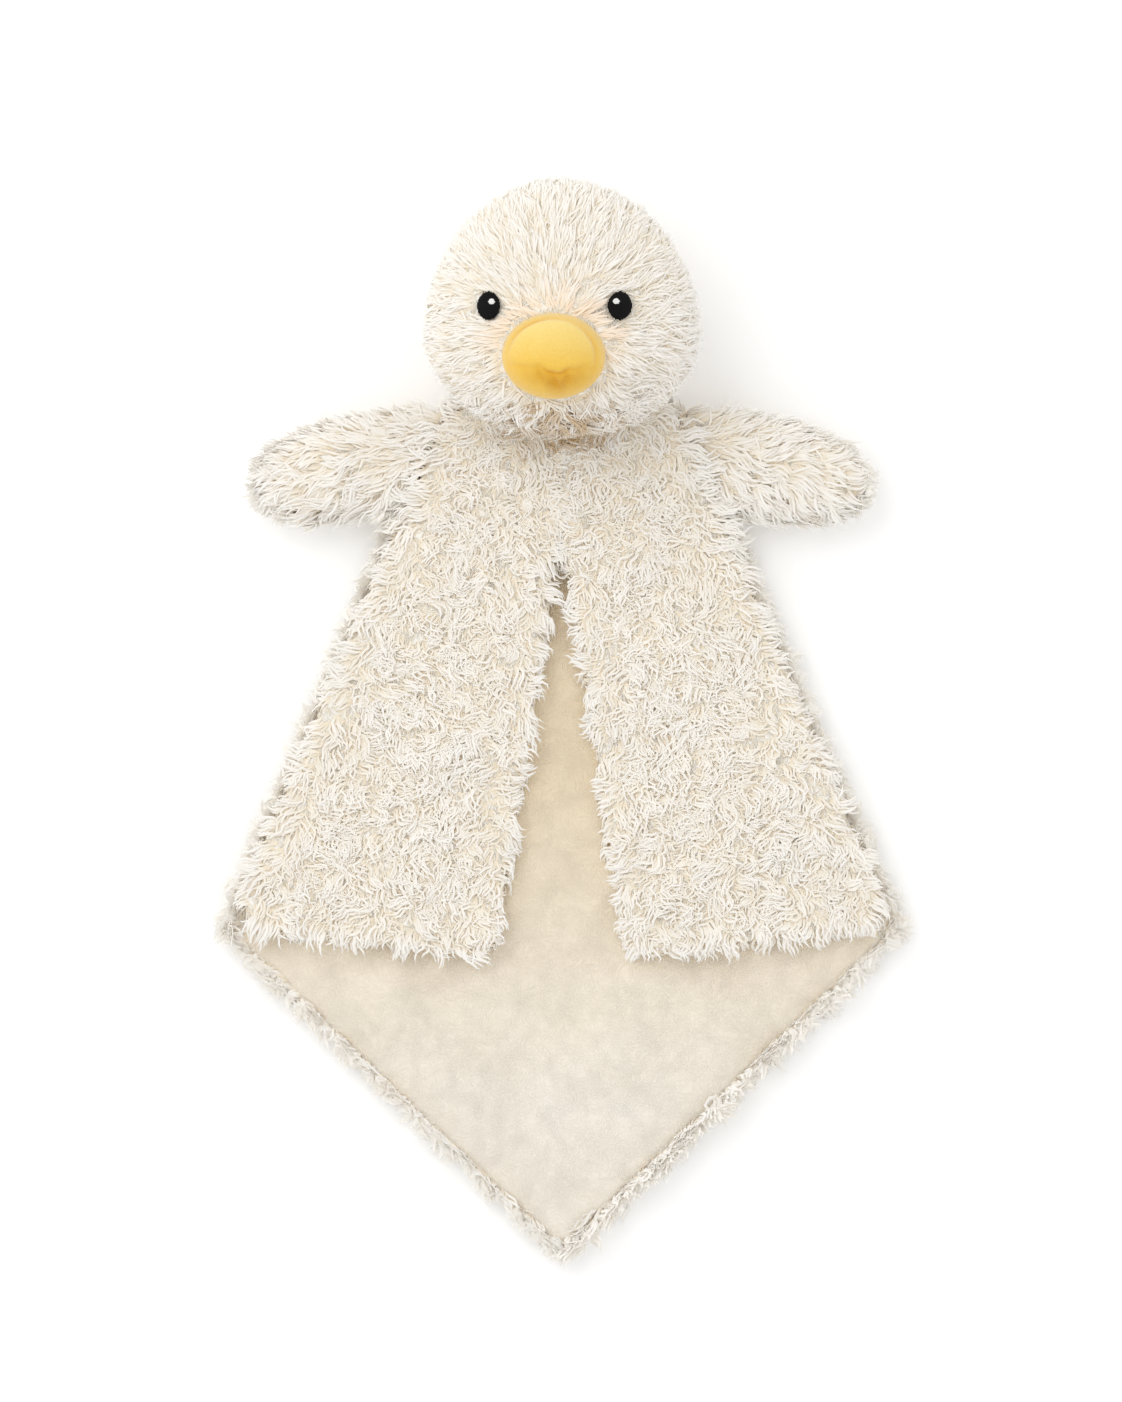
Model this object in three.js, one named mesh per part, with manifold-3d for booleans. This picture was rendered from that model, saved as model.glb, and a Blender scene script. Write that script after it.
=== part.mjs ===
// A plush duck comfort blanket that lies on its back: a stuffed head and two stuffed wings are sewn to a
// square fur cape with a smooth lining, whose side corners are folded to the front.
// Units are millimetres. +Z is up from the table, +Y runs from the cape towards the head, and the origin is
// on the table below the neck.

import * as THREE from 'three';
import { mergeVertices } from 'three/addons/utils/BufferGeometryUtils.js';
import Module from 'manifold-3d';

const wasm = await Module();
wasm.setup();

// Clearances: between two pieces that touch on the real toy, and between the head and the cape's cloths
const seam_gap = 0.3;
const neck_gap = 0.36;

// Cape cloths
const fur_pile = 7.4;
const lining_thickness = 1.15;
const fur_edge_round = 5.5;
const lining_edge_round = 0.4;
const lining_inset = 4;

// Cape plan, folded
const neck_half_width = 33;
const neck_rise = 12;
const shoulder_half_width = 43.5;
const shoulder_rise = 2;
const hem_corner_half_width = 115;
const hem_corner_drop = 166;
const hem_corner_radius = 12;
const point_drop = 277;
const point_radius = 9;
const back_fold_drop = 190;
const neck_corner_radius = 6;

// Front corners, folded over from the sides
const closed_front_drop = 46;
const parting_drop = 58;
const parting_half_gap = 4;
const front_corner_drop = 177;
const front_corner_half_gap = 22.5;
const front_corner_radius = 8;

// Head
const head_half_width = 45.7;
const crown_height = 51.5;
const chin_drop = 33;
const head_half_depth = 38.5;
const head_centre_up = 29.7;
const head_flat_depth = 0.5;
const head_skin = 5;
const face_turn_degrees = 4;

// Eyes
const eye_spacing = 43.2;
const eye_width = 7.1;
const eye_height = 8.7;
const eye_rise = 8.9;
const eye_thread = 0.9;
const glint_diameter = 2.4;
const glint_inward = 1.3;
const glint_rise = 1.7;
const glint_thread = 0.6;

// Beak
const bill_half_width = 17;
const bill_half_height = 14.2;
const bill_depth = 16;
const bill_sink = 4;
const bill_drop = 7.6;
const bill_skin = 1.6;
const mouth_drop = 6.6;
const mouth_crease = 0.6;

// Wings
const wing_half_length = 39;
const wing_half_width = 17.8;
const wing_half_thickness = 12;
const wing_beyond_fold = 14.1;
const wing_centre_drop = 13;
const wing_droop_degrees = 12.5;
const wing_fullness_share = 2.4;
const wing_clearance = 1;
const wing_skin = 4;

// Fineness of the round shapes
const corner_steps = 4;
const edge_steps = 3;
const head_around = 28;
const head_rings = 16;
const wing_around = 20;
const wing_rings = 12;
const bill_around = 20;
const bill_rings = 12;
const eye_steps = 20;

// Heights of the layers, from the table up
const back_fur_top = fur_pile;
const back_lining_base = back_fur_top + seam_gap;
const back_lining_top = back_lining_base + lining_thickness;
const front_lining_base = back_lining_top + seam_gap;
const front_lining_top = front_lining_base + lining_thickness;
const front_fur_base = front_lining_top + seam_gap;

// The viewer's left and right, as seen from above
const sides = [['left', -1], ['right', 1]];

// Places of the stuffed parts
const head_height = head_half_depth - head_flat_depth;
const wing_height = wing_half_thickness + wing_clearance;
const fold_slope = (hem_corner_half_width - shoulder_half_width) / (hem_corner_drop + shoulder_rise);
const fold_at_wing = shoulder_half_width + (wing_centre_drop + shoulder_rise) * fold_slope;
const wing_centre_out = fold_at_wing + wing_beyond_fold;
const bill_height = head_height + head_half_depth - bill_sink;
const eye_place = head_centre_up + eye_rise;
const bill_place = head_centre_up - bill_drop;
const mouth_place = bill_place - mouth_drop;
const face_turn = THREE.MathUtils.degToRad(face_turn_degrees);
const wing_droop = THREE.MathUtils.degToRad(wing_droop_degrees);

// Every cut runs past the whole cape, and no eased corner takes more than a share of its sides
const cut_reach = 2 * point_drop;
const ease_limit_share = 0.45;

// Finishes
const fur_finish = { color: '#f4ecdb', roughness: 0.95, metalness: 0 };
const head_fur_finish = { color: '#f0e9dd', roughness: 0.95, metalness: 0 };
const lining_finish = { color: '#efe4cd', roughness: 0.85, metalness: 0 };
const bill_finish = { color: '#f7cd5a', roughness: 0.8, metalness: 0 };
const lower_bill_finish = { color: '#e0ab43', roughness: 0.8, metalness: 0 };
const eye_finish = { color: '#1a1715', roughness: 0.45, metalness: 0 };
const glint_finish = { color: '#f7f7f5', roughness: 0.6, metalness: 0 };
const stuffing_finish = { color: '#fafafa', roughness: 1, metalness: 0 };

// Geometry in and out of the solid modeller
function solidOf(geometry) {
  const bare = geometry.clone();
  bare.deleteAttribute('normal');
  bare.deleteAttribute('uv');
  const merged = mergeVertices(bare);
  return new wasm.Manifold(new wasm.Mesh({
    numProp: 3,
    vertProperties: new Float32Array(merged.attributes.position.array),
    triVerts: new Uint32Array(merged.index.array),
  }));
}

function geometryOf(solid) {
  const mesh = solid.getMesh();
  const geometry = new THREE.BufferGeometry();
  geometry.setAttribute('position', new THREE.BufferAttribute(mesh.vertProperties, 3));
  geometry.setIndex(new THREE.BufferAttribute(mesh.triVerts, 1));
  geometry.computeVertexNormals();
  return geometry;
}

// A closed outline with each corner eased by its radius: corners are [x, y, radius]
function easedOutline(corners) {
  const shape = new THREE.Shape();
  corners.forEach(([x, y, radius], index) => {
    const corner = new THREE.Vector2(x, y);
    const before = corners[(index + corners.length - 1) % corners.length];
    const after = corners[(index + 1) % corners.length];
    const back = new THREE.Vector2(before[0], before[1]).sub(corner);
    const ahead = new THREE.Vector2(after[0], after[1]).sub(corner);
    const longest_ease = ease_limit_share * Math.min(back.length(), ahead.length());
    back.normalize();
    ahead.normalize();
    const half_angle = Math.acos(back.dot(ahead)) / 2;
    const ease = Math.min(radius / Math.tan(half_angle), longest_ease);
    const start = corner.clone().addScaledVector(back, ease);
    const end = corner.clone().addScaledVector(ahead, ease);
    if (index === 0) shape.moveTo(start.x, start.y);
    else shape.lineTo(start.x, start.y);
    if (radius > 0) {
      const middle = back.clone().add(ahead).normalize();
      const centre = corner.clone().addScaledVector(middle, ease / Math.cos(half_angle));
      const round = ease * Math.tan(half_angle);
      const from = start.clone().sub(centre).angle();
      const to = end.clone().sub(centre).angle();
      shape.absarc(centre.x, centre.y, round, from, to, back.cross(ahead) > 0);
    }
  });
  shape.closePath();
  return shape;
}

// A block between two heights that covers the side of a plan line where a given point lies
function sideOfLine(from, to, clearance, point) {
  const start = new THREE.Vector2(...from);
  const along = new THREE.Vector2(...to).sub(start).normalize();
  const normal = new THREE.Vector2(-along.y, along.x);
  if (new THREE.Vector2(...point).sub(start).dot(normal) < 0) normal.negate();
  const block = new THREE.BoxGeometry(cut_reach, cut_reach, cut_reach);
  block.rotateZ(Math.atan2(normal.y, normal.x));
  const middle = start.addScaledVector(normal, clearance + cut_reach / 2);
  block.translate(middle.x, middle.y, 0);
  return solidOf(block);
}

// A block above or below a height
function above(height) {
  const block = new THREE.BoxGeometry(cut_reach, cut_reach, cut_reach);
  block.translate(0, 0, height + cut_reach / 2);
  return solidOf(block);
}

function below(height) {
  const block = new THREE.BoxGeometry(cut_reach, cut_reach, cut_reach);
  block.translate(0, 0, height - cut_reach / 2);
  return solidOf(block);
}

// Head: an egg, full at the cheeks, that its skin and its stuffing share
function headEgg(grow) {
  const egg = new THREE.SphereGeometry(1, head_around, head_rings);
  const place = egg.attributes.position;
  for (let i = 0; i < place.count; i += 1) {
    const half_height = place.getY(i) > 0 ? crown_height : chin_drop;
    place.setXYZ(
      i,
      place.getX(i) * (head_half_width + grow),
      place.getY(i) * (half_height + grow),
      place.getZ(i) * (head_half_depth + grow),
    );
  }
  egg.translate(0, head_centre_up, head_height);
  return solidOf(egg);
}

const head_space = headEgg(neck_gap);

// Fur cloth: flat on its seam side, with a soft round edge on its pile side
function furCloth(outline, seam_height, pile_up) {
  const both_sides = new THREE.ExtrudeGeometry(outline, {
    depth: 2 * (fur_pile - fur_edge_round),
    bevelThickness: fur_edge_round,
    bevelSize: fur_edge_round,
    bevelOffset: -fur_edge_round,
    bevelSegments: edge_steps,
    curveSegments: corner_steps,
  });
  both_sides.translate(0, 0, seam_height - fur_pile + fur_edge_round);
  const half = pile_up ? above(seam_height) : below(seam_height);
  return solidOf(both_sides).intersect(half).subtract(head_space);
}

// Lining: a thin cloth, set in from the fur's edge so that the pile peeks out round it
function liningCloth(outline, base_height) {
  const cloth = new THREE.ExtrudeGeometry(outline, {
    depth: lining_thickness - 2 * lining_edge_round,
    bevelThickness: lining_edge_round,
    bevelSize: lining_edge_round,
    bevelOffset: -lining_inset - lining_edge_round,
    bevelSegments: 1,
    curveSegments: corner_steps,
  });
  cloth.translate(0, 0, base_height + lining_edge_round);
  return solidOf(cloth).subtract(head_space);
}

const toy = new THREE.Group();

function addPiece(name, solid, finish) {
  const mesh = new THREE.Mesh(geometryOf(solid), new THREE.MeshStandardMaterial(finish));
  mesh.name = name;
  toy.add(mesh);
}

// Cape back: the fur lies on the table and the lining faces up, and the lower point folds up
const back_outline = easedOutline([
  [-neck_half_width, neck_rise, neck_corner_radius],
  [-shoulder_half_width, shoulder_rise, neck_corner_radius],
  [-hem_corner_half_width, -hem_corner_drop, hem_corner_radius],
  [0, -point_drop, point_radius],
  [hem_corner_half_width, -hem_corner_drop, hem_corner_radius],
  [shoulder_half_width, shoulder_rise, neck_corner_radius],
  [neck_half_width, neck_rise, neck_corner_radius],
]);
const fold_left = [-hem_corner_half_width, -back_fold_drop];
const fold_right = [hem_corner_half_width, -back_fold_drop];
const above_fold = sideOfLine(fold_left, fold_right, seam_gap / 2, [0, 0]);
const below_fold = sideOfLine(fold_left, fold_right, seam_gap / 2, [0, -point_drop]);
const back_fur = furCloth(back_outline, back_fur_top, false);
const back_lining = liningCloth(back_outline, back_lining_base);
addPiece('cape_back_fur', back_fur.intersect(above_fold), fur_finish);
addPiece('cape_back_lining', back_lining.intersect(above_fold), lining_finish);
addPiece('cape_point_fur', back_fur.intersect(below_fold), fur_finish);
addPiece('cape_point_lining', back_lining.intersect(below_fold), lining_finish);

// Cape fronts: the two side corners folded over, each with a corner that turns back like a lapel
for (const [side_name, side] of sides) {
  const parting = [side * parting_half_gap, -parting_drop];
  const hem_corner = [side * hem_corner_half_width, -hem_corner_drop];
  const front_corner = [side * front_corner_half_gap, -front_corner_drop];
  const shoulder = [side * shoulder_half_width, shoulder_rise];
  const outline = easedOutline([
    [side * seam_gap, neck_rise, 0],
    [side * neck_half_width, neck_rise, neck_corner_radius],
    [...shoulder, neck_corner_radius],
    [...hem_corner, hem_corner_radius],
    [...front_corner, front_corner_radius],
    [...parting, 0],
    [side * seam_gap, -closed_front_drop, 0],
  ]);
  const fixed_side = sideOfLine(parting, hem_corner, seam_gap / 2, shoulder);
  const folding_side = sideOfLine(parting, hem_corner, seam_gap / 2, front_corner);
  const front_fur = furCloth(outline, front_fur_base, true);
  const front_lining = liningCloth(outline, front_lining_base);
  addPiece(`${side_name}_front_fur`, front_fur.intersect(fixed_side), fur_finish);
  addPiece(`${side_name}_front_lining`, front_lining.intersect(fixed_side), lining_finish);
  addPiece(`${side_name}_corner_fur`, front_fur.intersect(folding_side), fur_finish);
  addPiece(`${side_name}_corner_lining`, front_lining.intersect(folding_side), lining_finish);
}

// Wings: stuffed paddles sewn along the side folds at the shoulders, fuller along their length than a ball
function wingPaddle(side, grow) {
  const paddle = new THREE.SphereGeometry(1, wing_around, wing_rings);
  paddle.rotateZ(Math.PI / 2);
  const place = paddle.attributes.position;
  for (let i = 0; i < place.count; i += 1) {
    const along = Math.min(1, Math.abs(place.getX(i)));
    const across = Math.hypot(place.getY(i), place.getZ(i));
    const full = (1 - along ** wing_fullness_share) ** (1 / wing_fullness_share);
    const swell = across > 0 ? full / across : 0;
    place.setY(i, place.getY(i) * swell);
    place.setZ(i, place.getZ(i) * swell);
  }
  paddle.scale(wing_half_length + grow, wing_half_width + grow, wing_half_thickness + grow);
  paddle.rotateZ(-side * wing_droop);
  paddle.translate(side * wing_centre_out, -wing_centre_drop, wing_height);
  return solidOf(paddle);
}

for (const [side_name, side] of sides) {
  const shoulder = [side * shoulder_half_width, shoulder_rise];
  const hem_corner = [side * hem_corner_half_width, -hem_corner_drop];
  const outside = [side * 2 * hem_corner_half_width, 0];
  const beyond_fold = sideOfLine(shoulder, hem_corner, seam_gap, outside);
  const skin = wingPaddle(side, 0).subtract(wingPaddle(side, -wing_skin)).intersect(beyond_fold);
  const stuffing = wingPaddle(side, -wing_skin - seam_gap).intersect(beyond_fold);
  addPiece(`${side_name}_wing_top`, skin.intersect(above(wing_height + seam_gap / 2)), fur_finish);
  addPiece(`${side_name}_wing_back`, skin.intersect(below(wing_height - seam_gap / 2)), fur_finish);
  addPiece(`${side_name}_wing_stuffing`, stuffing, stuffing_finish);
}

// Head: two face panels and a back panel over the stuffing, flattened where it lies on the table
const middle_top = [0, crown_height];
const middle_base = [0, -crown_height];
const head_shell = headEgg(0).subtract(headEgg(-head_skin));
const face_shell = head_shell.intersect(above(head_height + seam_gap / 2));
const back_shell = head_shell.intersect(below(head_height - seam_gap / 2)).intersect(above(0));
for (const [side_name, side] of sides) {
  const half = sideOfLine(middle_top, middle_base, seam_gap / 2, [side * head_half_width, 0]);
  addPiece(`face_${side_name}_panel`, face_shell.intersect(half), head_fur_finish);
}
addPiece('head_back_panel', back_shell, head_fur_finish);
addPiece('head_stuffing', headEgg(-head_skin - seam_gap), stuffing_finish);

// The face looks a little to one side, so its features turn about the head's upright axis
function turnFace(geometry) {
  geometry.translate(0, 0, -head_height);
  geometry.rotateY(-face_turn);
  geometry.translate(0, 0, head_height);
  return solidOf(geometry);
}

// Beak: a puffed bill whose upper and lower panels meet at the mouth
function billDome(grow) {
  const dome = new THREE.SphereGeometry(1, bill_around, bill_rings);
  dome.scale(bill_half_width + grow, bill_half_height + grow, bill_depth + grow);
  dome.translate(0, bill_place, bill_height);
  return turnFace(dome);
}

const mouth_left = [-bill_half_width, mouth_place];
const mouth_right = [bill_half_width, mouth_place];
const over_mouth = sideOfLine(mouth_left, mouth_right, mouth_crease / 2, [0, crown_height]);
const under_mouth = sideOfLine(mouth_left, mouth_right, mouth_crease / 2, [0, -crown_height]);
const face_front = headEgg(seam_gap);
const bill_shell = billDome(0).subtract(billDome(-bill_skin)).subtract(face_front);
const bill_stuffing = billDome(-bill_skin - seam_gap).subtract(face_front);
addPiece('beak_upper_panel', bill_shell.intersect(over_mouth), bill_finish);
addPiece('beak_lower_panel', bill_shell.intersect(under_mouth), lower_bill_finish);
addPiece('beak_stuffing', bill_stuffing, stuffing_finish);

// Eyes: oval pads of satin stitch that follow the face, each with a round white stitch on it
function stitchedOval(width, height, x, y, low, high) {
  const oval = new THREE.Shape();
  oval.absellipse(x, y, width / 2, height / 2, 0, 2 * Math.PI);
  const column = new THREE.ExtrudeGeometry(oval, {
    depth: 2 * head_half_depth,
    bevelEnabled: false,
    curveSegments: eye_steps,
  });
  column.translate(0, 0, head_height);
  return turnFace(column).intersect(headEgg(high)).subtract(headEgg(low));
}

const eye_top = seam_gap + eye_thread;
const glint_base = eye_top + seam_gap;
for (const [side_name, side] of sides) {
  const eye_x = side * eye_spacing / 2;
  const glint_x = eye_x - side * glint_inward;
  const glint_y = eye_place + glint_rise;
  const eye = stitchedOval(eye_width, eye_height, eye_x, eye_place, seam_gap, eye_top);
  const glint = stitchedOval(
    glint_diameter, glint_diameter, glint_x, glint_y, glint_base, glint_base + glint_thread,
  );
  addPiece(`${side_name}_eye`, eye, eye_finish);
  addPiece(`${side_name}_eye_glint`, glint, glint_finish);
}

export default toy;
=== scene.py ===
import math

import bpy
import numpy as np
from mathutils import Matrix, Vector
from mathutils.bvhtree import BVHTree


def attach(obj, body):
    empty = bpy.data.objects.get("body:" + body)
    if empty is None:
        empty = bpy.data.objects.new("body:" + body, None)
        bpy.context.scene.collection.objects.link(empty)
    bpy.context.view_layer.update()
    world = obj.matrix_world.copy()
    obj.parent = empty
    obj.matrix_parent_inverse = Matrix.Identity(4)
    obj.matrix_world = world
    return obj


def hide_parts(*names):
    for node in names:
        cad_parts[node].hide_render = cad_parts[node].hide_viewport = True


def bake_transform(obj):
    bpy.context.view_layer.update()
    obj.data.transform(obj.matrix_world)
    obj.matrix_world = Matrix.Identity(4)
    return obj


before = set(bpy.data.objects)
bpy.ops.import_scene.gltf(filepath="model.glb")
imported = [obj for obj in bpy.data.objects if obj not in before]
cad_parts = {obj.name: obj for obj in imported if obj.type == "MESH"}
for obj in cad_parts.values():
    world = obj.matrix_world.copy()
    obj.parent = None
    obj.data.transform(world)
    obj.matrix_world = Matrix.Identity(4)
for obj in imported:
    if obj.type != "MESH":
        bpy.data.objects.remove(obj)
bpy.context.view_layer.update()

mm = 0.001


# The table, the light and the camera
# The toy lies on its back on a white table that glows a little. Its light comes softly from the upper left,
# and the camera looks straight down on it from far above, so that hardly any of its sides show.
photo_height = 1402
photo_pixel = 0.33 * mm
middle_pixel_row = 701
neck_pixel_row = 425
camera_height = 12
sensor_size = 36
table_size = 5
table_gap = 0.2 * mm
white = (0.97, 0.97, 0.97, 1)
table_look = {
    "Base Color": white, "Roughness": 0.9, "Specular IOR Level": 0.1,
    "Emission Color": white, "Emission Strength": 0.1,
}
fibre_bounces = 12
sky_look = {"Color": (1, 1, 1, 1), "Strength": 0.9}
key_power = 8.5
key_size = 1.4
key_place = (-0.8, 0.75, 1.5)

scene = bpy.context.scene
scene.view_settings.view_transform = "Standard"
scene.cycles.diffuse_bounces = fibre_bounces
frame_height = photo_height * photo_pixel
camera_along = (neck_pixel_row - middle_pixel_row) * photo_pixel
bpy.ops.object.camera_add(location=(0, camera_along, camera_height), rotation=(0, 0, 0))
scene.camera = bpy.context.object
scene.camera.data.sensor_width = sensor_size
scene.camera.data.lens = sensor_size * camera_height / frame_height
scene.camera.data.clip_end = 2 * camera_height

bpy.ops.mesh.primitive_plane_add(size=table_size, location=(0, 0, -table_gap))
table = bpy.context.object
table.name = "table"
table_paint = bpy.data.materials.new("white_table")
table_paint.use_nodes = True
for socket, value in table_look.items():
    table_paint.node_tree.nodes["Principled BSDF"].inputs[socket].default_value = value
table.data.materials.append(table_paint)

aim = Vector((0, camera_along, 0)) - Vector(key_place)
bpy.ops.object.light_add(type="AREA", location=key_place, rotation=aim.to_track_quat("-Z", "Y").to_euler())
key_light = bpy.context.object.data
key_light.energy = key_power
key_light.size = key_size
scene.world = bpy.data.worlds.new("studio")
scene.world.use_nodes = True
for socket, value in sky_look.items():
    scene.world.node_tree.nodes["Background"].inputs[socket].default_value = value


# Back fur
# One square of long-pile plush makes the whole cape. Its back half lies pile down on the table, and the pile
# shows as a fringe round the lining. The cloth is a knitted ground, in which locks of wavy fibre stand.
neck_half_width = 33 * mm
neck_rise = 12 * mm
shoulder_half_width = 43.5 * mm
shoulder_rise = 2 * mm
hem_corner_half_width = 115 * mm
hem_corner_drop = 166 * mm
hem_corner_round = 12 * mm
point_drop = 277 * mm
point_round = 9 * mm
back_fold_drop = 190 * mm
neck_round = 6 * mm
back_ground_low = 4.6 * mm
back_ground_thick = 2.8 * mm
cloth_cell = 4.5 * mm
ground_edge_rings = (0.8 * mm, 2.2 * mm)
weld_gap = 0.25 * mm
closing_gap = 0.02 * mm
side_pile_reach = 4.5 * mm
point_pile_reach = 3.4 * mm
rim_band = 1.2 * mm
combed_band = 7 * mm
corner_blend = 6 * mm

# How locks differ from each other, and how they lie on the table
tone_columns = 32
lock_flatness = 0.15
lock_rings = ((0, 0.7), (0.16, 1), (0.36, 1), (0.58, 0.9), (0.8, 0.65), (1, 0.3))
back_lock_width = 0.5 * mm
root_depth = 0.4 * mm
table_clearance = 0.3 * mm
tuft_spread = 0.95
stray_share = 0.08
stray_turn = 0.5
steady_turn = 0.12
length_range = (0.8, 1.15)
width_range = (0.8, 1.2)
wave_scatter = 0.35
rise_scatter = 0.07
tone_scatter = 0.12

# Colours, the pile's by height in it: warmer and darker low in the pile, as painted shade
pile_shades = (
    (0.0, (246, 236, 216)), (0.3, (250, 246, 238)), (0.62, (252, 250, 247)), (0.95, (252, 251, 249)),
)
pile_shade_share = 0.95
pile_high_at = 2.4 * mm
# Painted shade under the chin: locks of the lowest tones take this darker, warmer colour
neck_painted_shade = (210, 182, 138)
neck_shade_tones = (0.26, 0.0)
# Painted light: locks of the highest tones take the warm glow that the yellow beak throws
beak_glow_tones = (0.9, 1.0)
streaks_across = 14
streaks_along = 1.5
streak_tint = (0.98, 0.96, 0.92)
noise_band = (0.35, 0.65)
swirl_band = (0.34, 0.6)
swirl_bend = 1.6
ground_dark = (243, 231, 208)
ground_pale = (251, 247, 239)
fluff_width = 0.9 * mm
fluff_curl = 7 * mm
fluff_stretch = 0.25
fluff_height = 0.5 * mm


class Wire:
    """A socket of a material, so that shader maths reads as an expression."""

    def __init__(self, finish, socket):
        self.finish = finish
        self.socket = socket

    def out(self, name):
        """Another output of the same node."""
        return Wire(self.finish, self.socket.node.outputs[name])

    def __add__(self, other):
        return self.finish.node("Math", {"operation": "ADD"}, {0: self, 1: other})

    def __mul__(self, other):
        return self.finish.node("Math", {"operation": "MULTIPLY"}, {0: self, 1: other})

    __radd__ = __add__
    __rmul__ = __mul__


class Finish:
    """A material in the making: its Principled surface and the nodes that feed it."""

    def __init__(self, name, **constants):
        self.material = bpy.data.materials.new(name)
        self.material.use_nodes = True
        self.tree = self.material.node_tree
        self.surface = self.tree.nodes["Principled BSDF"]
        for socket, value in constants.items():
            self.surface.inputs[socket.replace("_", " ")].default_value = value

    def feed(self, socket, value):
        if isinstance(value, Wire):
            self.tree.links.new(value.socket, socket)
        else:
            socket.default_value = value

    def node(self, kind, settings, inputs, output=0):
        """Adds a node: its settings, such as an operation or a ramp's stops, and then its sockets."""
        made = self.tree.nodes.new("ShaderNode" + kind)
        for setting, value in settings.items():
            if setting == "stops":
                stops = made.color_ramp.elements
                stops.remove(stops[1])
                for index, (place, colour) in enumerate(value):
                    stop = stops.new(place) if index else stops[0]
                    stop.position = place
                    stop.color = colour
            else:
                setattr(made, setting, value)
        for socket, value in inputs.items():
            self.feed(made.inputs[socket], value)
        return Wire(self, made.outputs[output])

    def place(self):
        return self.node("TexCoord", {}, {}, "Object")

    def mix(self, share, first, second):
        """A blend of two colours."""
        return self.node("Mix", {"data_type": "RGBA"}, {0: share, 6: first, 7: second}, 2)

    def tinted(self, colour, tint):
        """A colour, or a place, times a factor for each channel."""
        return self.node("VectorMath", {"operation": "MULTIPLY"}, {0: colour, 1: tint})

    def between(self, value, band):
        """0 at the start of a band of values and 1 at its end."""
        inputs = {"Value": value, "From Min": band[0], "From Max": band[1]}
        return self.node("MapRange", {}, inputs)

    def noise(self, size, detail=2, place=None):
        """Soft noise on Object coordinates, with features of about that size in metres."""
        inputs = {"Vector": place or self.place(), "Scale": 1 / size, "Detail": detail}
        return self.node("TexNoise", {}, inputs)

    def swirls(self, width, curl, stretch):
        """Nap in swirls: noise of about that width, drawn out along its run and bent by slower noise."""
        place = self.place()
        slow = self.noise(curl, 1, place).out("Color")
        shift = self.node("VectorMath", {"operation": "SCALE"}, {0: slow, "Scale": swirl_bend * curl})
        bent = self.node("VectorMath", {"operation": "ADD"}, {0: place, 1: shift})
        return self.between(self.noise(width, 2, self.tinted(bent, (1, stretch, 1))), swirl_band)

    def colour(self, colour):
        self.feed(self.surface.inputs["Base Color"], colour)

    def bump(self, height, depth):
        """Raises the surface by a height map of the given depth in metres."""
        raised = self.node("Bump", {}, {"Height": height, "Distance": depth, "Strength": 1})
        self.feed(self.surface.inputs["Normal"], raised)


def paint(red, green, blue):
    """A colour from 0 to 255 a channel, as a screen shows it, made linear."""
    values = np.array([red, green, blue]) / 255
    linear = np.where(values > 0.04045, ((values + 0.055) / 1.055) ** 2.4, values / 12.92)
    return (*(float(value) for value in linear), 1)


def darker(colour, share):
    """The same colour with a share of its light."""
    return (colour[0] * share, colour[1] * share, colour[2] * share, 1)


def pile_finish(name, beak_glow=None):
    """Fibre, warm cream low in the pile as painted shade and at its root, and off-white at its tip. The UV
    map's column is a lock's tone.
    """
    finish = Finish(
        name, Roughness=0.7, Diffuse_Roughness=1.0, Specular_IOR_Level=0.15, Sheen_Weight=0.15,
        Sheen_Roughness=0.5,
    )
    flat_place = finish.node("UVMap", {"uv_map": "OFBake"}, {})
    tone = finish.node("SeparateXYZ", {}, {0: flat_place})
    height = tone.out("Y")
    stops = [(stop, paint(*colour)) for stop, colour in pile_shades]
    shaded_stops = [(stop, darker(colour, pile_shade_share)) for stop, colour in stops]
    light = finish.node("ValToRGB", {"stops": stops}, {0: height})
    shaded = finish.node("ValToRGB", {"stops": shaded_stops}, {0: height})
    colour = finish.mix(tone, shaded, light)
    across = tone * (tone_columns * streaks_across)
    over = finish.node("CombineXYZ", {}, {0: across, 1: height * streaks_along})
    fine = finish.between(finish.noise(1, 2, over), noise_band)
    colour = finish.mix(fine, finish.tinted(colour, streak_tint), colour)
    # Painted light: the highest tones take the glow that the yellow beak throws on the fur
    if beak_glow:
        colour = finish.mix(finish.between(tone, beak_glow_tones), colour, paint(*beak_glow))
    # Painted shade under the chin: the lowest tones take a darker, warmer colour
    finish.colour(finish.mix(finish.between(tone, neck_shade_tones), colour, paint(*neck_painted_shade)))
    return finish.material


def ground_finish(name):
    """The knitted ground between the locks: warm cream, under short curly fluff that runs in swirls."""
    finish = Finish(name, Roughness=0.9, Specular_IOR_Level=0.15, Sheen_Weight=0.3)
    fluff = finish.swirls(fluff_width, fluff_curl, fluff_stretch)
    finish.colour(finish.mix(fluff, paint(*ground_dark), paint(*ground_pale)))
    finish.bump(fluff, fluff_height)
    return finish.material


def unit(vectors):
    return vectors / (np.linalg.norm(vectors, axis=-1, keepdims=True) + 1e-12)


def ramp(value, start, width):
    """0 up to a start, and rising to 1 over a width. A negative width makes it rise the other way."""
    return np.clip((value - start) / width, 0, 1)


def hump(offset, width):
    """1 in the middle, and falling off softly past a width."""
    return np.exp(-((offset / width) ** 2))


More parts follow.
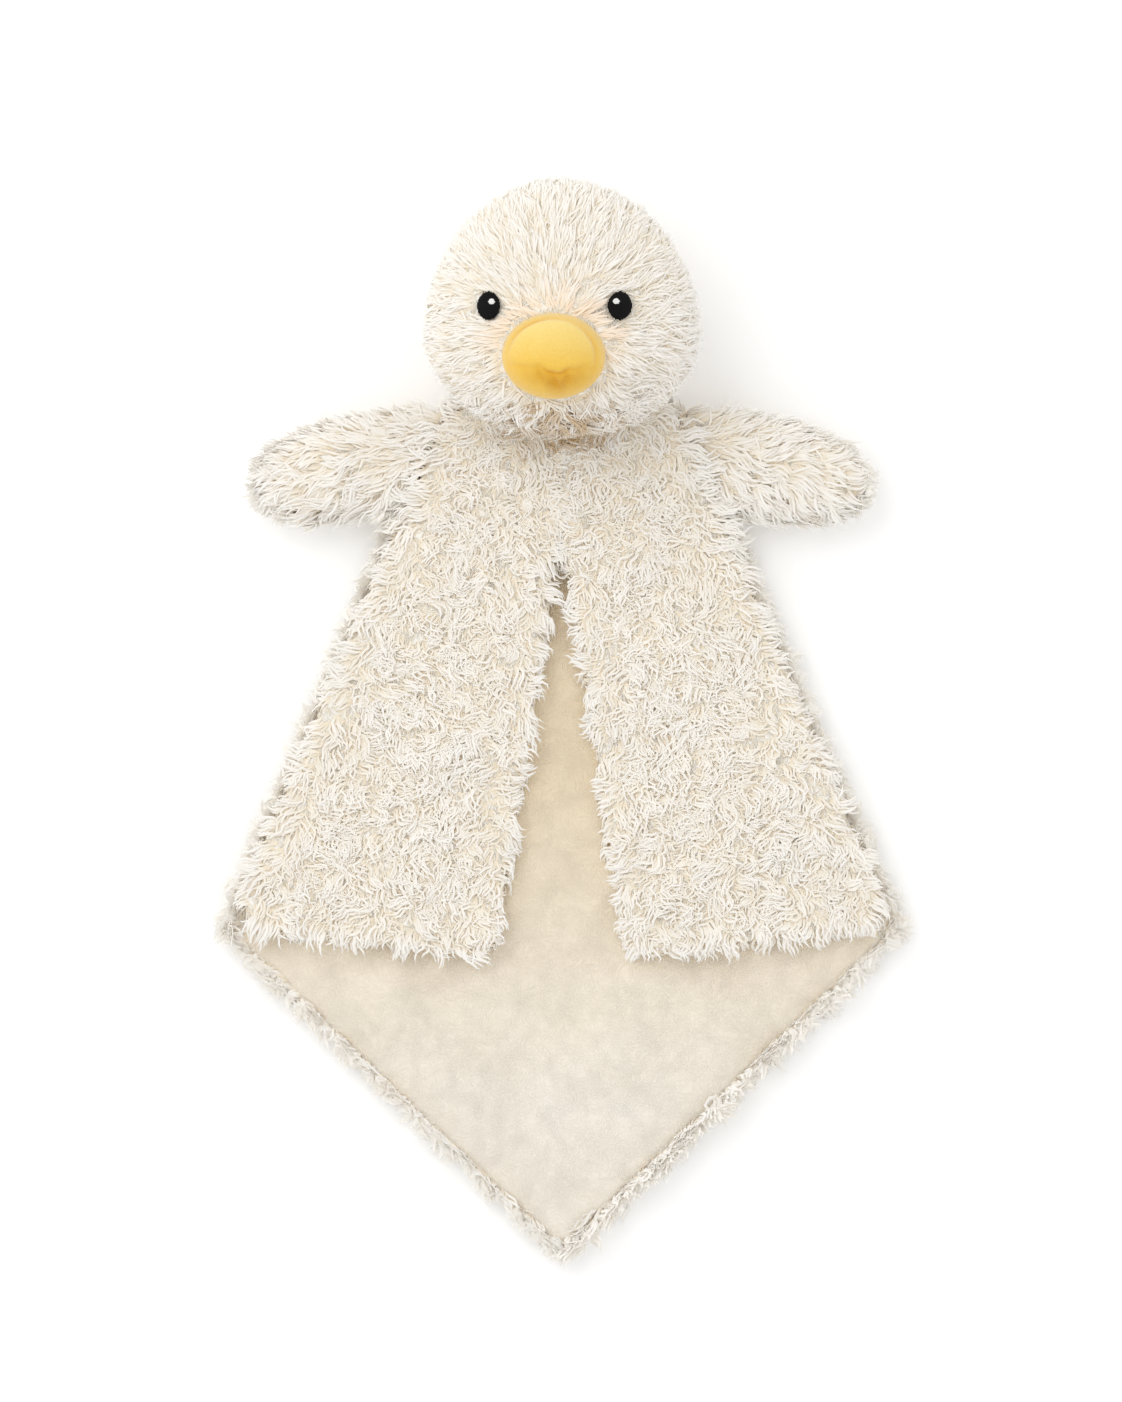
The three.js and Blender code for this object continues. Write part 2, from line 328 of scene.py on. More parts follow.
def cuts_round(corners):
    """The straight cuts that shape an outline, as points and outward ways. corners are (x, y, radius)."""
    places = [np.array(corner[:2], float) for corner in corners]
    turn = sum(a[0] * b[1] - a[1] * b[0] for a, b in zip(places, places[1:] + places[:1]))
    points = []
    outward = []
    for index, (place, corner) in enumerate(zip(places, corners)):
        before = place - places[index - 1]
        after = places[(index + 1) % len(places)] - place
        first, last = (np.array([v[1], -v[0]]) / math.hypot(*v) * np.sign(turn) for v in (before, after))
        points.append(place)
        outward.append(last)
        if corner[2]:
            centre = place - (first + last) * corner[2] / (1 + first @ last)
            for share in (0.2, 0.4, 0.6, 0.8):
                way = first * (1 - share) + last * share
                way /= math.hypot(*way)
                points.append(centre + way * corner[2])
                outward.append(way)
    return np.array(points), np.array(outward)


def set_in(cuts, at_folds, at_hem):
    """The back's outline set in by one margin at its neck and folds, and by another along its hem."""
    points, outward = cuts
    return points - outward * np.where(outward[:, 1:] > 0, at_folds, at_hem), outward


def edge_gaps(cuts, places):
    """How far each place lies inside each of an outline's cuts."""
    points, outward = cuts
    return np.einsum("kj,kj->k", points, outward)[None] - places[:, :2] @ outward.T


def edge_distance(cuts, places):
    """How far each place lies inside the outline."""
    return np.min(edge_gaps(cuts, places), axis=1)


def edge_way(cuts, places):
    """The way from each place towards the nearest edge of an outline, leaving out the edges at the neck."""
    low_cuts = tuple(part[cuts[1][:, 1] < 0.5] for part in cuts)
    gaps = edge_gaps(low_cuts, places)
    share = np.exp(-(gaps - gaps.min(axis=1, keepdims=True)) / corner_blend)
    return unit(np.pad(share @ low_cuts[1], ((0, 0), (0, 1))))


def cut_cloth(name, cuts, cell, rings, base, thickness, edge_round, both_faces=True):
    """A slab of square cells, cut along an outline, with extra rows of cells at its edge, and the places of
    its points. Its edge is round on both faces or on the upper one."""
    points, outward = cuts
    low = points.min(axis=0)
    span = points.max(axis=0) - low
    middle = low + span / 2
    across, along = (int(math.ceil(side / cell)) for side in span)
    bpy.ops.mesh.primitive_grid_add(x_subdivisions=across, y_subdivisions=along, size=1)
    cloth = bpy.context.object
    cloth.name = name
    cloth.data.name = name
    bpy.ops.object.mode_set(mode="EDIT")
    bpy.ops.transform.resize(value=(*span, 1))
    bpy.ops.transform.translate(value=(*middle, 0))
    for point, way in zip(points, outward):
        bpy.ops.mesh.select_all(action="SELECT")
        bpy.ops.mesh.bisect(plane_co=(*point, 0), plane_no=(*way, 0), clear_outer=True)
        for ring in rings:
            bpy.ops.mesh.select_all(action="SELECT")
            bpy.ops.mesh.bisect(plane_co=(*(point - way * ring), 0), plane_no=(*way, 0))
    bpy.ops.mesh.select_all(action="SELECT")
    bpy.ops.mesh.remove_doubles(threshold=weld_gap)
    bpy.ops.mesh.extrude_region_move(TRANSFORM_OT_translate={"value": (0, 0, thickness)})
    bpy.ops.object.mode_set(mode="OBJECT")
    places = places_of(cloth)
    upper = places[:, 2] > thickness / 2
    swell = np.sqrt(1 - (1 - ramp(edge_distance(cuts, places), 0, edge_round)) ** 2)
    half = thickness / 2
    if both_faces:
        places[:, 2] = base + half + np.where(upper, half, -half) * swell
    else:
        places[:, 2] = base + np.where(upper, thickness * swell, 0)
    return cloth, places


def places_of(piece):
    places = np.empty(3 * len(piece.data.vertices))
    piece.data.vertices.foreach_get("co", places)
    return places.reshape(-1, 3)


def move_to(piece, places, material):
    """Puts a piece's points at new places, closes what has come together, and gives it its material."""
    piece.data.vertices.foreach_set("co", places.ravel())
    bpy.ops.object.select_all(action="DESELECT")
    piece.select_set(True)
    bpy.context.view_layer.objects.active = piece
    bpy.ops.object.mode_set(mode="EDIT")
    bpy.ops.mesh.select_all(action="SELECT")
    bpy.ops.mesh.remove_doubles(threshold=closing_gap)
    bpy.ops.mesh.normals_make_consistent(inside=False)
    bpy.ops.object.mode_set(mode="OBJECT")
    bpy.ops.object.shade_smooth()
    piece.data.materials.append(material)


def ripples(places, size, seed):
    """A smooth seeded height field between about -1 and 1, with waves of about that size."""
    rng = np.random.default_rng(seed)
    ways = rng.uniform(0, 2 * math.pi, 14)
    lengths = size * rng.uniform(0.7, 1.6, 14)
    starts = rng.uniform(0, 2 * math.pi, 14)
    phases = (places[:, :1] * np.cos(ways) + places[:, 1:2] * np.sin(ways)) * 2 * math.pi / lengths + starts
    return np.sin(phases).sum(axis=1) / 4


def strand_shape(rings, edges, start_width, pointed):
    """A strand, a lock or a stitch, that swells and thins along its length. rings are (place, width)."""
    bpy.ops.mesh.primitive_circle_add(vertices=edges, radius=start_width, fill_type="NGON")
    strand = bpy.context.object
    bpy.ops.object.mode_set(mode="EDIT")
    for (place, width), (next_place, next_width) in zip(rings, rings[1:]):
        bpy.ops.mesh.extrude_region_move(TRANSFORM_OT_translate={"value": (0, 0, next_place - place)})
        share = next_width / width
        bpy.ops.transform.resize(value=(share, share, 1))
    if pointed:
        bpy.ops.mesh.merge(type="CENTER")
    bpy.ops.mesh.select_all(action="SELECT")
    bpy.ops.mesh.normals_make_consistent(inside=False)
    bpy.ops.object.mode_set(mode="OBJECT")
    places = places_of(strand)
    starts = []
    corners = []
    for face in strand.data.polygons:
        spots = places[list(face.vertices)]
        around = np.arctan2(spots[:, 1], spots[:, 0]) / (2 * math.pi) % 1
        tip = np.abs(spots[:, :2]).sum(axis=1) < 1e-5
        around += (around < 0.5) * (np.ptp(around[~tip]) > 0.5)
        around[tip] = around[~tip].mean()
        starts.append(len(corners))
        corners += zip(face.vertices, around / 1.5, spots[:, 2])
    bpy.data.objects.remove(strand)
    along = np.round(places[:, 2], 5)
    ring_places = np.unique(along)
    ring = np.searchsorted(ring_places, along)
    return {"places": places, "rings": ring_places, "ring": ring, "starts": starts, "corners": corners}


def copy_along(name, shape, lines, widths, flatness, outs, tones, heights, material):
    """One mesh of copies of a strand, each bent along its own line. lines is (copy, ring, xyz). The UV map
    holds each copy's tone across, and heights, from 0 to 1 for each ring, up."""
    copies = len(lines)
    spots = shape["places"]
    ring = shape["ring"]
    ways = unit(np.gradient(lines, axis=1))
    across = unit(np.cross(outs[:, None], ways))
    up = np.cross(ways, across)
    size = widths[:, None, None]
    made = lines[:, ring] + size * (
        spots[None, :, :1] * across[:, ring] + flatness * spots[None, :, 1:2] * up[:, ring]
    )
    corner_spots, around, along = (np.array(column) for column in zip(*shape["corners"]))
    mesh = bpy.data.meshes.new(name)
    mesh.vertices.add(copies * len(spots))
    mesh.vertices.foreach_set("co", made.astype(np.float32).ravel())
    step = np.arange(copies)[:, None]
    mesh.loops.add(copies * len(corner_spots))
    mesh.loops.foreach_set("vertex_index", (step * len(spots) + corner_spots).astype(np.int32).ravel())
    faces = copies * len(shape["starts"])
    mesh.polygons.add(faces)
    starts = step * len(corner_spots) + np.array(shape["starts"])
    mesh.polygons.foreach_set("loop_start", starts.astype(np.int32).ravel())
    columns = np.clip((tones * tone_columns).astype(int), 0, tone_columns - 1)[:, None]
    flat = np.empty((copies, len(corner_spots), 2), np.float32)
    flat[:, :, 0] = (columns + 0.15 + 0.7 * np.clip(around, 0, 1)) / tone_columns
    flat[:, :, 1] = 0.02 + 0.78 * heights[:, ring[corner_spots]] + 0.18 * along
    mesh.uv_layers.new(name="OFBake").data.foreach_set("uv", flat.ravel())
    mesh.polygons.foreach_set("use_smooth", np.zeros(faces, bool))
    mesh.update(calc_edges=True)
    mesh.materials.append(material)
    piece = bpy.data.objects.new(name, mesh)
    scene.collection.objects.link(piece)
    return piece


def steady_triangles(piece):
    """A piece's triangles in an order of their own, because that of its faces varies from run to run."""
    triangles = []
    for face in piece.data.polygons:
        around = list(face.vertices)
        first = around.index(min(around))
        around = around[first:] + around[:first]
        triangles += [(around[0], second, third) for second, third in zip(around[1:], around[2:])]
    triangles = np.array(sorted(triangles))
    a, b, c = (places_of(piece)[triangles[:, side]] for side in range(3))
    return triangles[np.linalg.norm(np.cross(b - a, c - a), axis=1) > 1e-12]


def spread(piece, spacing, rng, where):
    """Seeded places on a piece's surface, none closer than the spacing, and the ways out of it there."""
    corners = steady_triangles(piece)
    a, b, c = (places_of(piece)[corners[:, side]] for side in range(3))
    crossed = np.cross(b - a, c - a)
    outs = unit(crossed)
    areas = np.where(where((a + b + c) / 3, outs), np.linalg.norm(crossed, axis=1), 0)
    count = int(areas.sum() / 2 / spacing**2 * 6)
    pick = rng.choice(len(areas), count, p=areas / areas.sum())
    one, two = rng.random((2, count, 1))
    folded = one + two > 1
    one = np.where(folded, 1 - one, one)
    two = np.where(folded, 1 - two, two)
    found = a[pick] + one * (b - a)[pick] + two * (c - a)[pick]
    kept = []
    cells = {}
    for index, (key, place) in enumerate(zip(np.floor(found / spacing).astype(int).tolist(), found.tolist())):
        near = (
            other
            for x in (-1, 0, 1)
            for y in (-1, 0, 1)
            for z in (-1, 0, 1)
            for other in cells.get((key[0] + x, key[1] + y, key[2] + z), ())
        )
        if all(math.dist(place, other) > spacing for other in near):
            cells.setdefault(tuple(key), []).append(place)
            kept.append(index)
    return found[kept], outs[pick[kept]]


def along_surface(ways, outs):
    """Ways laid down on a surface whose outward ways are outs."""
    return unit(ways - outs * (ways * outs).sum(axis=1, keepdims=True))


def grow_pile(name, shape, base, seed, spacing, strands, where, style, material, clear=None):
    """Locks that grow from a piece's surface in tufts. style gives each tuft its lay, length and the rest,
    with one draw for each tuft."""
    rng = np.random.default_rng(seed)
    tufts, tuft_outs = spread(base, spacing, rng, where)

    def draw(low, high):
        return rng.uniform(low, high, len(tufts))

    def scatter(size, axes=1):
        return rng.normal(0, size, (len(tufts), axes) if axes > 1 else len(tufts))

    look = {"tone_spread": 0.5, "pale": 1, **style(tufts, tuft_outs, draw, scatter)}
    lay = along_surface(look.pop("lay"), tuft_outs)
    each = np.repeat(np.arange(len(tufts)), strands)
    own = {quality: np.broadcast_to(value, len(tufts))[each] for quality, value in look.items()}
    count = len(each)
    side = np.cross(tuft_outs, lay)
    radius = spacing * tuft_spread * np.sqrt(rng.random((count, 1)))
    angle = rng.uniform(0, 2 * math.pi, (count, 1))
    offset = radius * (np.cos(angle) * lay[each] + np.sin(angle) * side[each])
    tree = BVHTree.FromPolygons(places_of(base).tolist(), steady_triangles(base).tolist())
    hits = [tree.find_nearest(place) for place in (tufts[each] + offset).tolist()]
    outs = unit(np.array([hit[1] for hit in hits]) + 2 * tuft_outs[each])
    roots = np.array([hit[0] for hit in hits]) - outs * root_depth
    lay = along_surface(lay[each], outs)
    side = np.cross(outs, lay)
    stray = rng.random(count) < stray_share
    turned = own["swirl"] + rng.normal(0, 1, count) * np.where(stray, stray_turn, steady_turn)
    length = own["length"] * rng.uniform(*length_range, count)
    middles = (shape["rings"][1:] + shape["rings"][:-1]) / 2
    steps = np.diff(shape["rings"])
    waves = 2 * math.pi * own["waves"][:, None] * middles + own["phase"][:, None]
    sway = turned[:, None] + own["curl"][:, None] * np.sin(waves + rng.normal(0, wave_scatter, (count, 1)))
    rise = own["stand"][:, None] + (own["lie"] - own["stand"])[:, None] * middles**0.8
    rise = rise + rng.normal(0, rise_scatter, (count, 1))
    flat_ways = np.cos(sway)[..., None] * lay[:, None] + np.sin(sway)[..., None] * side[:, None]
    ways = np.cos(rise)[..., None] * flat_ways + np.sin(rise)[..., None] * outs[:, None]
    ways = ways * (length[:, None] * steps)[..., None]
    line = np.concatenate([np.zeros((count, 1, 3)), np.cumsum(ways, axis=1)], axis=1) + roots[:, None]
    pull = own["gather"][:, None, None] * shape["rings"][None, :, None] ** 1.2
    line = line - pull * offset[:, None]
    rest_height = table_clearance + np.abs(rng.normal(0, table_clearance, (count, 1)))
    line[..., 2] = np.maximum(line[..., 2], rest_height)
    tones = np.clip(own["tone"] + rng.normal(0, tone_scatter, count) * own["tone_spread"], 0, 0.999)
    widths = own["width"] * rng.uniform(*width_range, count)
    pale = own["pale"]
    if clear is not None:
        kept = clear(line)
        line, outs, tones, widths, pale = (part[kept] for part in (line, outs, tones, widths, pale))
    # Painted shade: the lower a ring lies in the pile, the warmer and darker its colour, and pale lightens
    # that shade
    above = np.array([tree.find_nearest(place)[3] for place in line.reshape(-1, 3).tolist()])
    heights = np.clip(above.reshape(line.shape[:2]) * pale[:, None] / pile_high_at, 0, 1)
    heights[:, 0] = 0
    return copy_along(name, shape, line, widths, lock_flatness, outs, tones, heights, material)


cape_pile = pile_finish("cape_pile")
cape_ground = ground_finish("cape_ground")
cape_lock = strand_shape(lock_rings, 3, 1, True)


def side_corners(side):
    """The corners down one side of the cape, from the neck to the hem."""
    return [
        (side * neck_half_width, neck_rise, neck_round),
        (side * shoulder_half_width, shoulder_rise, neck_round),
        (side * hem_corner_half_width, -hem_corner_drop, hem_corner_round),
    ]


back_cuts = cuts_round([*side_corners(-1), (0, -point_drop, point_round), *side_corners(1)[::-1]])
back_ground_cuts = set_in(back_cuts, side_pile_reach, point_pile_reach)


def back_style(tufts, outs, draw, scatter):
    """Back pile: pressed flat by its own weight, combed to the point, and turned out at the edges."""
    near_edge = np.exp(-np.abs(edge_distance(back_ground_cuts, tufts)) / combed_band)[:, None]
    toward = edge_way(back_cuts, tufts)
    lay = np.array([0, -1, 0]) * (1 - near_edge) + toward * 1.6 * near_edge
    return {
        "lay": lay + scatter(0.25, 3),
        "length": draw(7, 9.5) * mm * (1.1 + 0.2 * (toward[:, 1] < 0) * (tufts[:, 0] > 0)),
        "stand": draw(-0.1, 0.5) + (0.35 + 0.35 * (toward[:, 1] > 0)) * (outs[:, 2] > -0.5),
        "lie": draw(-0.3, 0.1),
        "curl": draw(0.5, 1.2),
        "waves": draw(0.7, 1.2),
        "phase": draw(0, 2 * math.pi),
        "swirl": scatter(0.35),
        "gather": draw(0.2, 0.8),
        "tone": draw(0.45, 0.9),
        "pale": 2.5,
        "width": back_lock_width,
    }


def at_point(places):
    """Past the fold above the point."""
    return places[:, 1] <= -back_fold_drop


def at_rim(places, outs):
    """The edge of the back cloth, where the pile shows past the lining as a fringe."""
    return (np.abs(outs[:, 2]) < 0.97) & (edge_distance(back_ground_cuts, places) < rim_band)


back_ground, places = cut_cloth(
    "back_fur_ground", back_ground_cuts, cloth_cell, ground_edge_rings, back_ground_low, back_ground_thick,
    back_ground_thick / 2,
)
move_to(back_ground, places, cape_ground)
back_piles = [
    grow_pile(name, cape_lock, back_ground, seed, gap, locks, where, back_style, cape_pile)
    for name, seed, gap, locks, where in (
        ("back_fur_pile", 11, 5.2 * mm, 7, lambda places, outs: (outs[:, 2] < 0.3) & ~at_point(places)),
        ("point_fur_pile", 12, 3.6 * mm, 9, lambda places, outs: (outs[:, 2] < 0.3) & at_point(places)),
        ("back_fringe_pile", 13, 1.6 * mm, 8, at_rim),
    )
]
for piece in (back_ground, *back_piles):
    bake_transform(piece)
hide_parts("cape_back_fur", "cape_point_fur")


# Lining
# Smooth short-nap plush lines the whole square. The back half of the lining faces up between the open fronts
# and below the hem, set in from the edge with a rolled seam, and each front is lined as well.
lining_inset = 4 * mm
fold_inset = 8.5 * mm
lining_thick = 1.15 * mm
back_lining_low = 7.5 * mm
front_lining_low = 9.15 * mm
lining_cell = 3.2 * mm
lining_edge_rings = (0.5 * mm, 1.3 * mm, 2.6 * mm)
lining_edge_round = 2.2 * mm
lining_droop = 1.7 * mm
lining_droop_band = 1.2 * mm
seam_inset = 2.4 * mm
seam_width = 0.7 * mm
seam_depth = 0.35 * mm
open_from = -172 * mm
open_band = 25 * mm
held_band = 16 * mm
wave_size = 36 * mm
wave_height = 2.4 * mm
wave_lift = 1.1 * mm
# Painted shade: the lining is darker and warmer towards the neck, where the fronts shade it, and paler
# further down
lining_shaded = (241, 226, 199)
lining_pale = (245, 238, 226)
lining_pale_from = -120 * mm
lining_pale_to = -225 * mm
patch_size = 20 * mm
nap_width = 0.5 * mm
nap_curl = 12 * mm
nap_stretch = 0.6
nap_height = 0.12 * mm
nap_tint = (0.9, 0.88, 0.85)


def lining_finish(name, pale_from, pale_to):
    """Short-nap plush, painted darker and warmer towards the neck as shade, and paler in the open: its fine
    nap lies in swirls, and patches of it catch the light.
    """
    finish = Finish(name, Roughness=0.75, Specular_IOR_Level=0.2, Sheen_Weight=0.4, Sheen_Roughness=0.45)
    along = finish.node("SeparateXYZ", {}, {0: finish.place()}).out("Y")
    colour = finish.mix(finish.between(along, (pale_from, pale_to)), paint(*lining_shaded), paint(*lining_pale))
    nap = finish.swirls(nap_width, nap_curl, nap_stretch)
    lying = finish.between(finish.noise(patch_size, 3), noise_band)
    finish.colour(finish.mix(lying * 0.5 + nap * 0.5, finish.tinted(colour, nap_tint), colour))
    finish.bump(nap, nap_height)
    return finish.material


back_lining_plush = lining_finish("lining_plush", lining_pale_from, lining_pale_to)
front_lining_plush = lining_finish("front_lining_plush", 0, lining_pale_from)
back_lining_cuts = set_in(back_cuts, fold_inset, lining_inset)
back_lining, places = cut_cloth(
    "back_lining", back_lining_cuts, lining_cell, lining_edge_rings, back_lining_low, lining_thick,
    lining_edge_round,
)
inside = edge_distance(back_lining_cuts, places)
loose = ramp(inside, 0, held_band) * ramp(places[:, 1], open_from, -open_band)
places[:, 2] += loose * (wave_height * np.clip(ripples(places, wave_size, 3), -0.45, 2) + wave_lift)
seam = hump(inside - seam_inset, seam_width)
places[:, 2] -= seam_depth * seam * (places[:, 2] > back_lining_low + lining_thick / 2)
places[:, 2] -= lining_droop * np.exp(-inside / lining_droop_band)
move_to(back_lining, places, back_lining_plush)
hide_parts("cape_back_lining", "cape_point_lining")
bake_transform(back_lining)


# Cape fronts
# The square's two side corners are folded to the front. Each front is fur outside and lining inside, closed
# at the chest and open below. Its corner turns back like a lapel along a line from the parting to the hem.
front_gap = 0.3 * mm
parting_drop = 58 * mm
parting_half_gap = 4 * mm
front_corner_drop = 177 * mm
front_corner_half_gap = 22.5 * mm
front_corner_round = 8 * mm
front_ground_low = 10.6 * mm
front_ground_thick = 5.6 * mm
ground_edge_round = 3.2 * mm
hem_pile_reach = 1.5 * mm
fold_wall = 4 * mm
fold_drop = 3 * mm
sewn_band = 8 * mm
wing_seam_low = -38 * mm
wing_seam_out = 36 * mm
wing_seam_band = 5 * mm
chest_seam_low = -44 * mm
chest_seam_half_width = 6 * mm
front_wave_height = 0.8 * mm
front_wave_size = 45 * mm
front_wave_from = 11 * mm
front_wave_band = 10 * mm
fold_comb_band = 14 * mm
rim_comb_band = 5 * mm
wing_comb_band = 7 * mm
under_wing_low = -40 * mm
under_wing_out = 30 * mm
chin_shade_half_width = 28 * mm
chin_shade_low = -16 * mm
chin_shade_band = 12 * mm
front_swirl_size = 26 * mm
front_locks = 15
front_tuft_gap = 3.15 * mm
front_lock_width = 0.33 * mm
level_slack = 0.01 * mm

# The fronts' inner edges run straight from the hem up to the middle, and meet there
steepness = (front_corner_drop - parting_drop) / (front_corner_half_gap - parting_half_gap)
closed_drop = parting_drop - (parting_half_gap - front_gap) * steepness


def inner_cuts(cuts, side_inset, lower_inset, middle_inset=0):
    """A front's outline set in by margins: at the side, at the hem, and at the middle and neck."""
    points, outward = cuts
    away = outward[:, :1] * np.sign(points[:, :1])
    lower = np.clip(-2 * outward[:, 1:] - 1, 0, 1)
    inset = np.where(away > 0.3, side_inset, middle_inset) * (1 - lower) + lower_inset * lower
    return points - outward * inset, outward


for side_name, side in (("left", -1), ("right", 1)):
    cuts = cuts_round([
        (side * front_gap, neck_rise, 0),
        *side_corners(side),
        (side * front_corner_half_gap, -front_corner_drop, front_corner_round),
        (side * front_gap, -closed_drop, 0),
    ])
    parting = np.array([side * parting_half_gap, -parting_drop])
    hem_corner = np.array([side * hem_corner_half_width, -hem_corner_drop])
    along_fold = unit(hem_corner - parting)
    to_corner = np.array([along_fold[1], -along_fold[0]]) * side
    ground_cuts = inner_cuts(cuts, side_pile_reach, hem_pile_reach)

    def front_style(tufts, outs, draw, scatter):
        """Front pile: combed out at the side fold, down at the hem, and curled every way in between."""
        depth = edge_distance(tuple(part[ground_cuts[1][:, 1] < 0.5] for part in ground_cuts), tufts)
        out_from_middle = np.abs(tufts[:, 0])
        near_edge = ramp(depth, fold_comb_band, -fold_comb_band) ** 1.4
        loose = 1 - near_edge
        lay = edge_way(cuts, tufts) * 1.3 * near_edge[:, None]
        lay = lay + np.array([0, -1, 0]) * (1 - 0.6 * near_edge[:, None])
        lay[:, 2] -= 0.8
        at_rim = ramp(depth, rim_comb_band, -rim_comb_band)
        over_wing = ramp(depth, wing_comb_band, -wing_comb_band)
        over_wing = over_wing * (tufts[:, 1] > under_wing_low) * (out_from_middle > under_wing_out)
        at_fold = ramp(out_from_middle, under_wing_out, 2 * under_wing_out) * near_edge
        # Painted shade under the chin: the tones of locks there are lowered towards the darker, warmer colour
        under_chin = hump(tufts[:, 0], chin_shade_half_width)
        under_chin = under_chin * ramp(tufts[:, 1], chin_shade_low, chin_shade_band)
        swirl = 0.9 * ripples(tufts, front_swirl_size, 7 + side) * loose
        return {
            "lay": lay,
            "length": draw(7, 10) * mm * (1 + 0.4 * over_wing),
            "stand": draw(0.35, 0.6) - 0.1 * near_edge + 0.5 * over_wing,
            "lie": draw(-0.3, 0.0) - 0.6 * at_rim * (1 - 0.7 * over_wing),
            "curl": draw(0.7, 1.6) * (0.45 + 0.55 * loose) * (1 - 0.5 * at_fold),
            "waves": draw(0.7, 1.25),
            "phase": draw(0, 2 * math.pi),
            "swirl": scatter(0.3) + swirl,
            "gather": draw(-0.2, 0.7),
            "tone": draw(0.4, 0.95) * (1 - 0.9 * under_chin),
            "tone_spread": 0.6,
            "width": front_lock_width,
        }

    def on_front(places, outs):
        """The upper face of the front, past the line that its corner turns back along or short of it."""
        return (outs[:, 2] > -0.2) & (((places[:, :2] - parting) @ to_corner > 0) == past_line)

    ground, places = cut_cloth(
        f"{side_name}_front_ground", ground_cuts, cloth_cell, ground_edge_rings, front_ground_low,
        front_ground_thick, ground_edge_round, both_faces=False,
    )
    out_from_middle = np.abs(places[:, 0])
    at_wing = ramp(out_from_middle, wing_seam_out, wing_seam_band)
    at_wing = at_wing * ramp(places[:, 1], wing_seam_low, sewn_band)
    at_chest = ramp(places[:, 1], chest_seam_low, sewn_band) * (out_from_middle < chest_seam_half_width)
    sewn = np.maximum(at_wing, at_chest)
    upper = (sewn > 0) & (places[:, 2] > front_ground_low + level_slack)
    full = front_ground_low + front_ground_thick
    places[upper, 2] += (full - places[upper, 2]) * sewn[upper]
    by_fold = (ground_cuts[1][:, 0] * side > 0.6) & (np.abs(ground_cuts[1][:, 1]) < 0.6)
    from_fold = edge_distance((ground_cuts[0][by_fold], ground_cuts[1][by_fold]), places)
    from_fold = ramp(from_fold, 0, fold_wall) + (sewn > 0)
    under = places[:, 2] < front_ground_low + level_slack
    at_edge = 0.5 * fold_drop * np.exp(-8 * from_fold)
    places[:, 2] -= np.where(under, fold_drop * np.clip(1 - from_fold**2, 0, 1) - at_edge, at_edge)
    swell = ramp(edge_distance(ground_cuts, places), 0, front_wave_band)
    wave = front_wave_height * ripples(places, front_wave_size, 5 + side)
    places[:, 2] += swell * wave * (places[:, 2] > front_wave_from)
    move_to(ground, places, cape_ground)
    piles = []
    for name, seed, past_line in (("front", 20, False), ("corner", 30, True)):
        piles.append(grow_pile(
            f"{side_name}_{name}_pile", cape_lock, ground, seed + side, front_tuft_gap, front_locks, on_front,
            front_style, cape_pile,
        ))
    lining_cuts = inner_cuts(cuts, fold_inset, lining_inset, lining_inset)
    lining, places = cut_cloth(
        f"{side_name}_front_lining_cloth", lining_cuts, cloth_cell, lining_edge_rings, front_lining_low,
        lining_thick, lining_edge_round,
    )
    move_to(lining, places, front_lining_plush)
    for piece in (ground, *piles, lining):
        "lining" if piece == lining else "cape_fur"
        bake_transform(piece)
    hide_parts(f"{side_name}_front_fur", f"{side_name}_corner_fur")
    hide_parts(f"{side_name}_front_lining", f"{side_name}_corner_lining")


# Wings
# Each wing is a flat bag of the same plush, stuffed softly and sewn to the side fold below the shoulder. The
# pile runs towards its tip and hangs over its lower side in long locks.
wing_half_length = 39 * mm
wing_half_width = 17.8 * mm
wing_half_thick = 12 * mm
wing_centre_out = 63.98 * mm
wing_centre_drop = 13 * mm
wing_height = 13 * mm
wing_droop = math.radians(12.5)
wing_fullness = 2.4
wing_pile_depth = 3.7 * mm
wing_seam_thin_from = 4 * mm
wing_seam_thin_over = 22 * mm
wing_wave_height = 0.5 * mm
wing_wave_size = 24 * mm
wing_tuft_gap = 2.8 * mm
wing_locks = 15
wing_lock_width = 0.36 * mm
seam_clearance = 0.2 * mm


def ball_shape(name, segments, rings):
    """A new piece that starts as a ball of radius 1, and the places of its points."""
    bpy.ops.mesh.primitive_uv_sphere_add(segments=segments, ring_count=rings, radius=1)
    piece = bpy.context.object
    piece.name = name
    piece.data.name = name
    return piece, places_of(piece)


